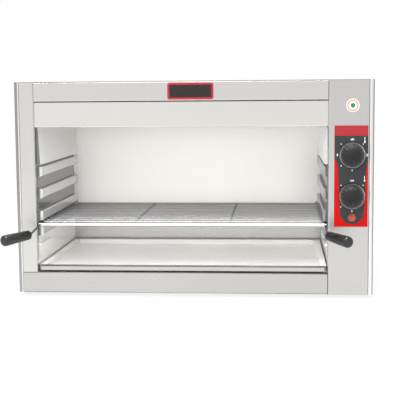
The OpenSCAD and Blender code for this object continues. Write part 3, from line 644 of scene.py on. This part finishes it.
def plastic(name, dark, light, roughness, relief=0.00004, size=1400.0, gloss=0.5):
    """Moulded plastic or rubber: fine grain in its slope, and a slow rub in its colour and gloss."""
    made, tree, main = finish_start(name)
    main.inputs["Specular IOR Level"].default_value = gloss
    grain = add(tree, "Group", node_tree=moulded)
    grain.inputs["Size"].default_value = size
    join(tree, two_tints(tree, grain.outputs["Rub"], dark, light), main.inputs["Base Color"])
    join(tree, spread(tree, grain.outputs["Rub"], roughness - 0.05, roughness + 0.08),
         main.inputs["Roughness"])
    bump(tree, grain.outputs["Grain"], main, relief)
    return made


def lathe(profile, centre, axis, sides=64, shape=None):
    """Turns (radius, height) pairs about an axis through the centre. shape(angle, radius, height), where
    it is given, returns the radius and the height that each point of the turned grid gets instead."""
    axis = np.asarray(axis, float) / np.linalg.norm(axis)
    across = np.cross(axis, (0.0, 0.0, 1.0) if abs(axis[2]) < 0.9 else (1.0, 0.0, 0.0))
    across /= np.linalg.norm(across)
    other = np.cross(axis, across)
    angle = np.linspace(0, 2 * math.pi, sides, endpoint=False)[None]
    radius, height = (np.asarray(profile, float)[:, i][:, None] + 0 * angle for i in (0, 1))
    if shape:
        radius, height = shape(angle + 0 * radius, radius, height)
    ring = across * np.cos(angle)[..., None] + other * np.sin(angle)[..., None]
    grid = np.asarray(centre, float) + ring * radius[..., None] + axis * height[..., None]
    return skin(grid, wrap_columns=True)


grip_black = plastic("grip_black", (0.007, 0.007, 0.0075), (0.013, 0.013, 0.014), 0.25)
grip_length = np.linalg.norm(grip_run) - grip_gap

# the grip's profile: a quarter round at the rod, a straight taper, and a quarter round as its domed end
near_turn = np.linspace(0, math.pi / 2, 7)
dome_turn = np.linspace(0, math.pi / 2, 9)
grip_profile = [(0.0, 0.0)]
grip_profile += [(grip_small - near_round * (1 - math.sin(a)), near_round * (1 - math.cos(a)))
                 for a in near_turn]
grip_profile += [(grip_big - dome + dome * math.cos(a), grip_length - dome + dome * math.sin(a))
                 for a in dome_turn]
grip_profile.append((0.0, grip_length))
for side, name in ((1, "left"), (-1, "right")):
    flip = np.array([side, 1, 1])
    root = np.array([rack_middle - side * (rack_middle - rack_x[0]), rack_y[0], rack_z])
    bend = root + rod_out * flip
    direction = grip_run * flip / np.linalg.norm(grip_run)
    path = rounded([root, bend, bend + direction * (grip_gap + rod_in_grip)], rod_bend, steps=8)
    rod = tube(path, handle_rod / 2)
    grip = lathe(grip_profile, bend + direction * grip_gap, direction, sides=48)
    piece(f"{name}_handle_rod", [rod], bar_steel, "rack", [f"{name}_handle_rod"])
    piece(f"{name}_grip", [grip], grip_black, "rack", [f"{name}_grip"])

# ------------------------------------------------------------------ drip tray
# One pressed sheet: a shallow pan with rounded corners, a flat rim all round and a lip folded down
# along its front. It slides on the floor liner. Tints by place are painted shade on its front floor,
# rear wall, front rim and the fold of its lip, and the lip is painted darker than the pan.
tray_sheet = 0.0012
tray_rim = 0.010
tray_edge = 0.0003
tray_corner = 0.004
tray_inner_corner = 0.0022
corner_draw_in = 0.15
tray_soft = 0.0022
tray_crown = 0.0006
crown_steps = (0.85, 0.6, 0.3, 0.0)
tray_lip = 0.009
tray_lip_inset = 0.004
lip_set_back = 0.0002
lip_drop = 0.0001
lip_overlap = 0.0038
lip_return = 0.0028
lip_bend = 0.0012
lip_sheet = 0.0008
tray_tint = (0.98, 0.965, 0.945)
front_floor_shade = (0.78, 0.765, 0.745)
front_floor_end = 0.18
rear_wall_shade = (0.60, 0.59, 0.575)
rear_wall_start = 0.0055
rear_wall_full = 0.0025
front_rim_shade = (0.10, 0.10, 0.098)
rim_drop = (0.0016, 0.0010)
rim_edge = 0.001
lip_shade_tint = (0.50, 0.495, 0.485)
lip_fold_shade = (0.09, 0.09, 0.088)
lip_fold_drop = (0.0022, 0.0013)

low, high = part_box("drip_tray")
tray_low, tray_high = np.array(low), np.array(high)
front_inside = tray_low[1] + tray_rim
rear_inside = tray_high[1] - tray_rim
rim_z = tray_high[2]
tray_steel = sheet_steel("tray_steel", tray_tint, 0.32, along_x, 0.006, fine_relief, metallic=0.0)
# painted shade on the tray's front floor, rear wall and front rim
stain(tray_steel, front_floor_shade, (1, tray_low[1] + front_floor_end, front_inside))
stain(tray_steel, rear_wall_shade, (1, rear_inside - rear_wall_start, rear_inside - rear_wall_full))
stain(tray_steel, front_rim_shade, (2, rim_z - rim_drop[0], rim_z - rim_drop[1]),
      (1, front_inside + rim_edge, front_inside))


def ring_round(half_x, half_y, corner, steps=8, straight=6):
    """A closed loop of points round a rectangle with rounded corners, about the origin."""
    loops = []
    arc = np.linspace(0, math.pi / 2, steps + 1)
    for k, (sx, sy) in enumerate(((1, 1), (-1, 1), (-1, -1), (1, -1))):
        turn = arc + k * math.pi / 2
        loops.append(np.stack([sx * (half_x - corner) + corner * np.cos(turn),
                               sy * (half_y - corner) + corner * np.sin(turn)], axis=1))
    out = []
    for this, following in zip(loops, loops[1:] + loops[:1]):
        out.append(this)
        t = np.linspace(0, 1, straight + 2)[1:-1, None]
        out.append(this[-1] * (1 - t) + following[0] * t)
    return np.vstack(out)


# the pan's section from the rim inwards: a broken edge, the flat rim, and a quarter arc at each end of
# the wall; rings of it stand round the tray, and the floor is crowned towards the middle
tray_centre = (tray_low + tray_high) / 2
tray_half = (tray_high - tray_low) / 2
floor_z = tray_low[2] + tray_sheet
wall_inset = tray_rim + tray_sheet
soft_turn = np.linspace(0, math.pi / 2, 6)
section = [(0.0, rim_z - tray_sheet), (0.0, rim_z - tray_edge), (tray_edge, rim_z),
           (wall_inset - tray_soft, rim_z)]
section += [(wall_inset - tray_soft + tray_soft * math.sin(a), rim_z - tray_soft + tray_soft * math.cos(a))
            for a in soft_turn[1:]]
section += [(wall_inset + tray_soft - tray_soft * math.cos(a), floor_z + tray_soft - tray_soft * math.sin(a))
            for a in soft_turn]
rings = []
for inset, z in section:
    corner = max(tray_corner - inset * corner_draw_in, tray_inner_corner)
    loop = ring_round(tray_half[0] - inset, tray_half[1] - inset, corner)
    rings.append(np.column_stack([loop + tray_centre[:2], np.full(len(loop), z)]))
for k in crown_steps:
    shrunk = (rings[len(section) - 1][:, :2] - tray_centre[:2]) * k + tray_centre[:2]
    rings.append(np.column_stack([shrunk, np.full(len(shrunk), floor_z + tray_crown * (1 - k))]))
pan = skin(np.array(rings), wrap_columns=True)
tray = piece("drip_tray", [pan], tray_steel, "drip_tray", ["drip_tray"], sharp=50)
wall = tray.modifiers.new("wall", "SOLIDIFY")
wall.thickness = tray_sheet * 0.98
wall.offset = -1.0

lip_x = [tray_low[0] + tray_lip_inset, tray_high[0] - tray_lip_inset]
lip_y = tray_low[1] + lip_set_back
lip_top = rim_z - lip_drop
lip_line = rounded([(lip_y + lip_overlap, lip_top), (lip_y, lip_top), (lip_y, rim_z - tray_lip),
                    (lip_y + lip_return, rim_z - tray_lip)], lip_bend)
lip_grid = np.array([np.column_stack([np.full(len(lip_line), x), lip_line])
                     for x in np.linspace(lip_x[0], lip_x[1], 8)])
# painted shade: the lip is tinted darker than the pan, and darker again at its fold
lip_steel = sheet_steel("tray_lip_steel", lip_shade_tint, 0.28, along_x, 0.01, fine_relief, metallic=0.9)
stain(lip_steel, lip_fold_shade, (2, rim_z - lip_fold_drop[0], rim_z - lip_fold_drop[1]))
lip = piece("tray_lip", [skin(lip_grid)], lip_steel, "drip_tray", sharp=50)
fold = lip.modifiers.new("fold", "SOLIDIFY")
fold.thickness = lip_sheet
fold.offset = 1.0

# ------------------------------------------------------------------ control plate
# A thin enamelled plate in red with a black tongue, screwed flat on the control column. Dial numbers,
# ticks and a small thermometer sign are screen printed in white.
print_lift = 0.00006
dial_x = (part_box("upper_knob")[0].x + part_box("upper_knob")[1].x) / 2
dial_z = [(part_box(k)[0].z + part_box(k)[1].z) / 2 for k in ("upper_knob", "lower_knob")]
plate_low, plate_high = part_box("control_plate")
lamp_z = (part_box("lamp_lens")[0].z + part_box("lamp_lens")[1].z) / 2
header_h = 0.0182
tongue_foot_r = 0.0214
tongue_top_r = 0.0256
tongue_shoulder_r = 0.0310
tongue_foot_z = lamp_z + 0.0099
shoulder_z = [under_z + 0.232, under_z + 0.249]
dial_ring = 0.0275
side_ring = 0.0262
digit_h = 0.0032
side_digit_h = 0.0023
digit_swell = 0.00007
type_per_height = 1.45
tick_run = (-0.0012, 0.0010)
tick_half_w = 0.0006
sign_across = 0.0220
sign_height = [0.0230, 0.0276]
stem_half_w = 0.0005
stem_run = (0.0022, 0.0086)
bulb_r = 0.0014


def enamel(name, colour, roughness=0.28, gloss=0.25):
    """Smooth fired enamel or print, with a slow wave in its gloss."""
    made, tree, main = finish_start(name)
    main.inputs["Specular IOR Level"].default_value = gloss
    grain = add(tree, "Group", node_tree=moulded)
    grain.inputs["Size"].default_value = 500.0
    dark = [c * 0.92 for c in colour]
    join(tree, two_tints(tree, grain.outputs["Rub"], dark, colour), main.inputs["Base Color"])
    join(tree, spread(tree, grain.outputs["Rub"], roughness - 0.04, roughness + 0.06),
         main.inputs["Roughness"])
    bump(tree, grain.outputs["Grain"], main, 0.000008)
    return made


red = enamel("plate_red", (0.28, 0.0014, 0.0009), 0.3, 0.1)
crimson = enamel("plate_crimson", (0.195, 0.012, 0.017), 0.3, 0.15)
tongue_black = enamel("plate_black", (0.018, 0.019, 0.020), 0.32)
print_white = enamel("print_white", (0.55, 0.55, 0.54), 0.4)
dress(red, "control_plate")


def flat_print(name, grid_xz, y, material):
    """A printed patch: a grid of x and z laid on the plane y, with the thickness of its ink."""
    rows = np.asarray(grid_xz, float)
    grid = np.stack([rows[..., 0], np.full(rows.shape[:2], y), rows[..., 1]], axis=-1)
    made = piece(name, [skin(grid)], material, "case")
    made.data.shade_flat()
    ink = made.modifiers.new("ink", "SOLIDIFY")
    ink.thickness = print_lift
    ink.offset = 0.0
    return made


plate_y = plate_low.y - print_lift
header_z = plate_high.z - header_h
flat_print("plate_header", [[(plate_low.x, header_z), (plate_high.x, header_z)],
                            [(plate_low.x, plate_high.z), (plate_high.x, plate_high.z)]],
           plate_y, crimson)

# the tongue: full width under the header, drawn in over a soft shoulder, then tapering to a round foot
foot_angle = np.linspace(math.pi / 2, 0.06, 14)
foot_rows = [(tongue_foot_r * math.cos(a), tongue_foot_z - tongue_foot_r * math.sin(a)) for a in foot_angle]
taper_z = np.linspace(tongue_foot_z, header_z, 40)
shoulder = np.clip((taper_z - shoulder_z[0]) / (shoulder_z[1] - shoulder_z[0]), 0, 1)
shoulder = shoulder * shoulder * (3 - 2 * shoulder)
taper = tongue_foot_r + (tongue_top_r - tongue_foot_r) * np.clip(
    (taper_z - tongue_foot_z) / (shoulder_z[0] - tongue_foot_z), 0, 1)
tongue_w = taper + (tongue_shoulder_r - taper) * shoulder
tongue_rows = foot_rows + list(zip(tongue_w, taper_z))
tongue_grid = [[(max(dial_x - w, plate_low.x), z), (dial_x, z), (min(dial_x + w, plate_high.x), z)]
               for w, z in tongue_rows]
flat_print("plate_tongue", tongue_grid, plate_y, tongue_black)


def printed_number(name, text, x, z, turn, y, height):
    """A number of that height on the plate, turned by an angle about its own middle."""
    curve = bpy.data.curves.new(name, "FONT")
    curve.body = text
    curve.size = height * type_per_height
    curve.align_x = "CENTER"
    curve.align_y = "CENTER"
    curve.offset = digit_swell
    curve.extrude = print_lift / 2
    curve.resolution_u = 4
    holder = bpy.data.objects.new(name, curve)
    mesh = bpy.data.meshes.new_from_object(holder)
    bpy.data.objects.remove(holder)
    stand = (Matrix.Translation((x, y, z)) @ Matrix.Rotation(turn, 4, "Y")
             @ Matrix.Rotation(math.pi / 2, 4, "X"))
    mesh.transform(stand)
    mesh.materials.clear()
    mesh.materials.append(print_white)
    made = bpy.data.objects.new(name, mesh)
    bpy.context.scene.collection.objects.link(made)
    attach(made, "case")


ink_y = plate_y - print_lift
for dial, z0, sign_up in zip(("upper", "lower"), dial_z, sign_height):
    marks = [("0", -180), ("100", -90), ("200", 0), ("300", 90)]
    for text, degrees in marks if dial == "upper" else marks[::2]:
        a = math.radians(degrees)
        upright = degrees in (0, -180)
        ring = dial_ring if upright else side_ring
        printed_number(f"{dial}_{text}", text, dial_x + ring * math.sin(a), z0 + ring * math.cos(a),
                       0.0 if upright else a, ink_y, digit_h if upright else side_digit_h)
    for i, degrees in enumerate((-135, -45, 45)):
        a = math.radians(degrees)
        along = np.array([math.sin(a), math.cos(a)])
        wide = np.array([math.cos(a), -math.sin(a)]) * tick_half_w
        inner, outer = (np.array([dial_x, z0]) + along * (dial_ring + r) for r in tick_run)
        flat_print(f"{dial}_tick_{i}", [[inner - wide, inner + wide], [outer - wide, outer + wide]],
                   ink_y, print_white)
    sign_x = dial_x + sign_across
    sign_z = z0 + sign_up
    stem = [[(sign_x - stem_half_w, sign_z + up), (sign_x + stem_half_w, sign_z + up)] for up in stem_run]
    flat_print(f"{dial}_sign_stem", stem, ink_y, print_white)
    bulb = np.linspace(0, 2 * math.pi, 21)
    disc = [[(sign_x + k * bulb_r * math.cos(a), sign_z + k * bulb_r * math.sin(a)) for a in bulb]
            for k in (1.0, 0.02)]
    flat_print(f"{dial}_sign_bulb", disc, ink_y, print_white)

# ------------------------------------------------------------------ knobs
# Black moulded thermostat knobs, pushed on their spindles: a plain rim, a domed body with scoops round
# its shoulder to grip, and a low raised pointer. A sheen gives the dome the soft haze of matt plastic.
knob_r = (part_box("upper_knob")[1].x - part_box("upper_knob")[0].x) / 2
knob_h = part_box("upper_knob")[1].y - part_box("upper_knob")[0].y
rim_h = 0.0046
knob_wall = 0.004
knob_hollow = 0.0015
knob_step = 0.0006
step_round = 0.0005
dome_start = 0.0056
dome_power = 2.3
flutes = 14
flute_depth = 0.0007
flute_from_up = 0.25
flute_rise_up = 4
flute_from_radius = 0.5
flute_rise_radius = 5
pointer_lift = 0.0009
pointer_half_w = 0.0013
pointer_run = (0.0055, 0.0145)
pointer_side_edge = 6000
pointer_end_edge = 3000
haze_most = 0.5
haze_run = (0.009, 0.006)
knob_sides = 336

knob_black = plastic("knob_black", (0.003, 0.0032, 0.0034), (0.006, 0.0062, 0.0066), 0.46, gloss=0.32)
knob_tree = knob_black.node_tree
knob_main = knob_tree.nodes["Principled BSDF"]
knob_main.inputs["Sheen Roughness"].default_value = 0.38
knob_place = add(knob_tree, "TexCoord")
knob_split = add(knob_tree, "SeparateXYZ")
knob_back_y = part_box("upper_knob")[1].y
join(knob_tree, knob_place.outputs["Object"], knob_split.inputs[0])
haze = spread(knob_tree, knob_split.outputs[1], haze_most, 0.0, knob_back_y - haze_run[0],
              knob_back_y - haze_run[1])
join(knob_tree, haze, knob_main.inputs["Sheen Weight"])

# the profile: a rim rounded at its edges, and a dome that is a quarter of a superellipse
rim = rounded([(knob_r - knob_wall, 0.0), (knob_r, 0.0), (knob_r, rim_h), (knob_r - knob_step, dome_start)],
              step_round, steps=4)
shoulder_turn = np.linspace(0, math.pi / 2, 70)[1:]
dome_r = (knob_r - knob_step) * np.cos(shoulder_turn) ** (2 / dome_power)
dome_h = dome_start + (knob_h - dome_start) * np.sin(shoulder_turn) ** (2 / dome_power)
dome_r[-1] = 0.0
knob_profile = np.vstack([rim, np.column_stack([dome_r, dome_h])])


def fluted(angle, radius, height):
    """Scoops run round the dome's shoulder: deepest where it turns over, gone at the rim and towards the
    middle. The pointer is a low ridge on the lower part of the face."""
    up = np.clip((height - dome_start) / (knob_h - dome_start), 0, 1)
    along = np.clip((up - flute_from_up) * flute_rise_up, 0, 1)
    along = along * np.clip((radius / knob_r - flute_from_radius) * flute_rise_radius, 0, 1)
    scoop = np.clip(np.cos(flutes * angle), 0, 1)
    x, down = radius * np.cos(angle), radius * np.sin(angle)
    ridge = 1 / (1 + np.exp((np.abs(x) - pointer_half_w) * pointer_side_edge))
    ridge = ridge / (1 + np.exp((pointer_run[0] - down) * pointer_end_edge))
    ridge = ridge / (1 + np.exp((down - pointer_run[1]) * pointer_end_edge))
    height = np.minimum(height + pointer_lift * ridge, knob_h)
    return radius - flute_depth * along * scoop, height


for name in ("upper_knob", "lower_knob"):
    low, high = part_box(name)
    centre = ((low.x + high.x) / 2, high.y, (low.z + high.z) / 2)
    turned = lathe(knob_profile, centre, (0, -1, 0), knob_sides, fluted)
    back = lathe([(knob_r - knob_wall, 0.0), (knob_r - knob_wall, knob_hollow), (0.0, knob_hollow)],
                 centre, (0, -1, 0), knob_sides)
    piece(name, [turned, back], knob_black, name, [name], sharp=40)

# ------------------------------------------------------------------ signal lamp
# A red domed lens in a black ring, pushed through the plate, with its body behind.
lens_finish, lens_tree, lens_main = finish_start("lens_red")
lens_main.inputs["Roughness"].default_value = 0.12
lens_main.inputs["Coat Weight"].default_value = 0.6
lens_place = add(lens_tree, "TexCoord")
lens_cells = add(lens_tree, "TexVoronoi", Scale=700.0)
join(lens_tree, lens_place.outputs["Object"], lens_cells.inputs["Vector"])
join(lens_tree, two_tints(lens_tree, spread(lens_tree, lens_cells.outputs[0], 0, 1, 0.0, 0.9),
                          (0.265, 0.038, 0.020), (0.185, 0.017, 0.008)), lens_main.inputs["Base Color"])
bump(lens_tree, lens_cells.outputs[0], lens_main, 0.0002)
lamp_black = plastic("lamp_black", (0.020, 0.016, 0.016), (0.034, 0.028, 0.028), 0.36)
dress(lens_finish, "lamp_lens")
dress(lamp_black, "lamp_bezel", "lamp_body")

# ------------------------------------------------------------------ badge plate and round label
# A bare enamelled badge on the top rail, black with a red border, and a plain round paper label on the
# control column.
badge_border = 0.0035
badge_corner = 0.0025
label_ring = (0.0100, 0.0080)
label_dot = (0.0040, 0.00004)
badge_low, badge_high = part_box("badge_plate")
badge_red = enamel("badge_red", (0.22, 0.008, 0.013), 0.25)
badge_black = enamel("badge_black", (0.012, 0.009, 0.009), 0.3)
dress(badge_red, "badge_plate")
badge_centre = ((badge_low.x + badge_high.x) / 2, (badge_low.z + badge_high.z) / 2)
badge_half = ((badge_high.x - badge_low.x) / 2, (badge_high.z - badge_low.z) / 2)
badge_loop = ring_round(badge_half[0] - badge_border, badge_half[1] - badge_border, badge_corner,
                        steps=6, straight=4)
badge_loop = np.vstack([badge_loop, badge_loop[:1]])
badge_rows = [badge_loop * k + badge_centre for k in (1.0, 0.5, 0.001)]
flat_print("badge_field", badge_rows, badge_low.y - print_lift, badge_black)

label_low, label_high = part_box("round_label")
label_paper = enamel("label_paper", (0.42, 0.415, 0.40), 0.5)
label_orange = enamel("label_orange", (0.40, 0.11, 0.04), 0.5)
label_green = enamel("label_green", (0.01, 0.10, 0.04), 0.5)
dress(label_paper, "round_label")
label_centre = np.array([(label_low.x + label_high.x) / 2, (label_low.z + label_high.z) / 2])
label_turn = np.linspace(0, 2 * math.pi, 49)
label_circle = np.column_stack([np.cos(label_turn), np.sin(label_turn)])
flat_print("label_ring", [label_circle * r + label_centre for r in label_ring],
           label_low.y - print_lift, label_orange)
flat_print("label_dot", [label_circle * r + label_centre for r in label_dot],
           label_low.y - print_lift, label_green)

# ------------------------------------------------------------------ insulation, wiring and terminals
# Mineral wool pads round the cavity; glass-sleeved wires, porcelain terminals, plated thermostats and
# copper capillaries behind the control column.
wool, wool_tree, wool_main = finish_start("mineral_wool")
wool_place = add(wool_tree, "TexCoord")
wool_fibre = add(wool_tree, "TexNoise", Scale=420.0, Detail=5.0, Roughness=0.75)
join(wool_tree, wool_place.outputs["Object"], wool_fibre.inputs["Vector"])
join(wool_tree, two_tints(wool_tree, wool_fibre.outputs[0], (0.42, 0.38, 0.28), (0.74, 0.71, 0.60)),
     wool_main.inputs["Base Color"])
wool_main.inputs["Roughness"].default_value = 0.95
bump(wool_tree, wool_fibre.outputs[0], wool_main, 0.001)
dress(wool, "top_insulation", "rear_insulation", "left_insulation", "right_insulation")


def plain_metal(name, dark, light, roughness, scale=120.0):
    """Cast, turned or plated metal: slow mottling in its tint and gloss."""
    made, tree, main = finish_start(name, 1.0)
    place = add(tree, "TexCoord")
    mottle = add(tree, "TexNoise", Scale=scale, Detail=4.0, Roughness=0.6)
    join(tree, place.outputs["Object"], mottle.inputs["Vector"])
    join(tree, two_tints(tree, mottle.outputs[0], dark, light), main.inputs["Base Color"])
    join(tree, spread(tree, mottle.outputs[0], roughness - 0.06, roughness + 0.08), main.inputs["Roughness"])
    bump(tree, mottle.outputs[0], main, 0.00003)
    return made


zinc = plain_metal("zinc_plate", (0.50, 0.48, 0.42), (0.66, 0.63, 0.54), 0.38)
copper = plain_metal("copper_tube", (0.62, 0.30, 0.18), (0.80, 0.44, 0.30), 0.30)
brass = plain_metal("turned_brass", (0.62, 0.44, 0.18), (0.80, 0.62, 0.30), 0.28)
bright_screw = plain_metal("screw_steel", (0.56, 0.56, 0.55), (0.74, 0.74, 0.73), 0.26, 300.0)
porcelain = plastic("porcelain", (0.72, 0.70, 0.64), (0.82, 0.81, 0.77), 0.22, 0.00001, 600.0)
sleeve = plastic("wire_sleeve", (0.55, 0.47, 0.34), (0.70, 0.63, 0.50), 0.75, 0.0002, 900.0)
dress(zinc, "upper_thermostat", "lower_thermostat")
dress(copper, "upper_sensor", "lower_sensor")
dress(brass, "heater_bushings", "earth_nuts")
dress(bright_screw, "upper_spindle", "lower_spindle", "foot_screws", "earth_stud", "casing_screws")
dress(porcelain, "terminal_block")
dress(sleeve, "wiring_harness")

# ------------------------------------------------------------------ feet, gland
# Four black rubber feet screwed under the base, and a black nylon gland for the mains cable in the
# back cover.
rubber = plastic("foot_rubber", (0.018, 0.018, 0.018), (0.032, 0.031, 0.030), 0.75, 0.0001, 900.0)
nylon = plastic("gland_nylon", (0.022, 0.022, 0.023), (0.036, 0.036, 0.038), 0.45)
dress(rubber, "rubber_feet")
dress(nylon, "cable_gland", "gland_lock_nut")
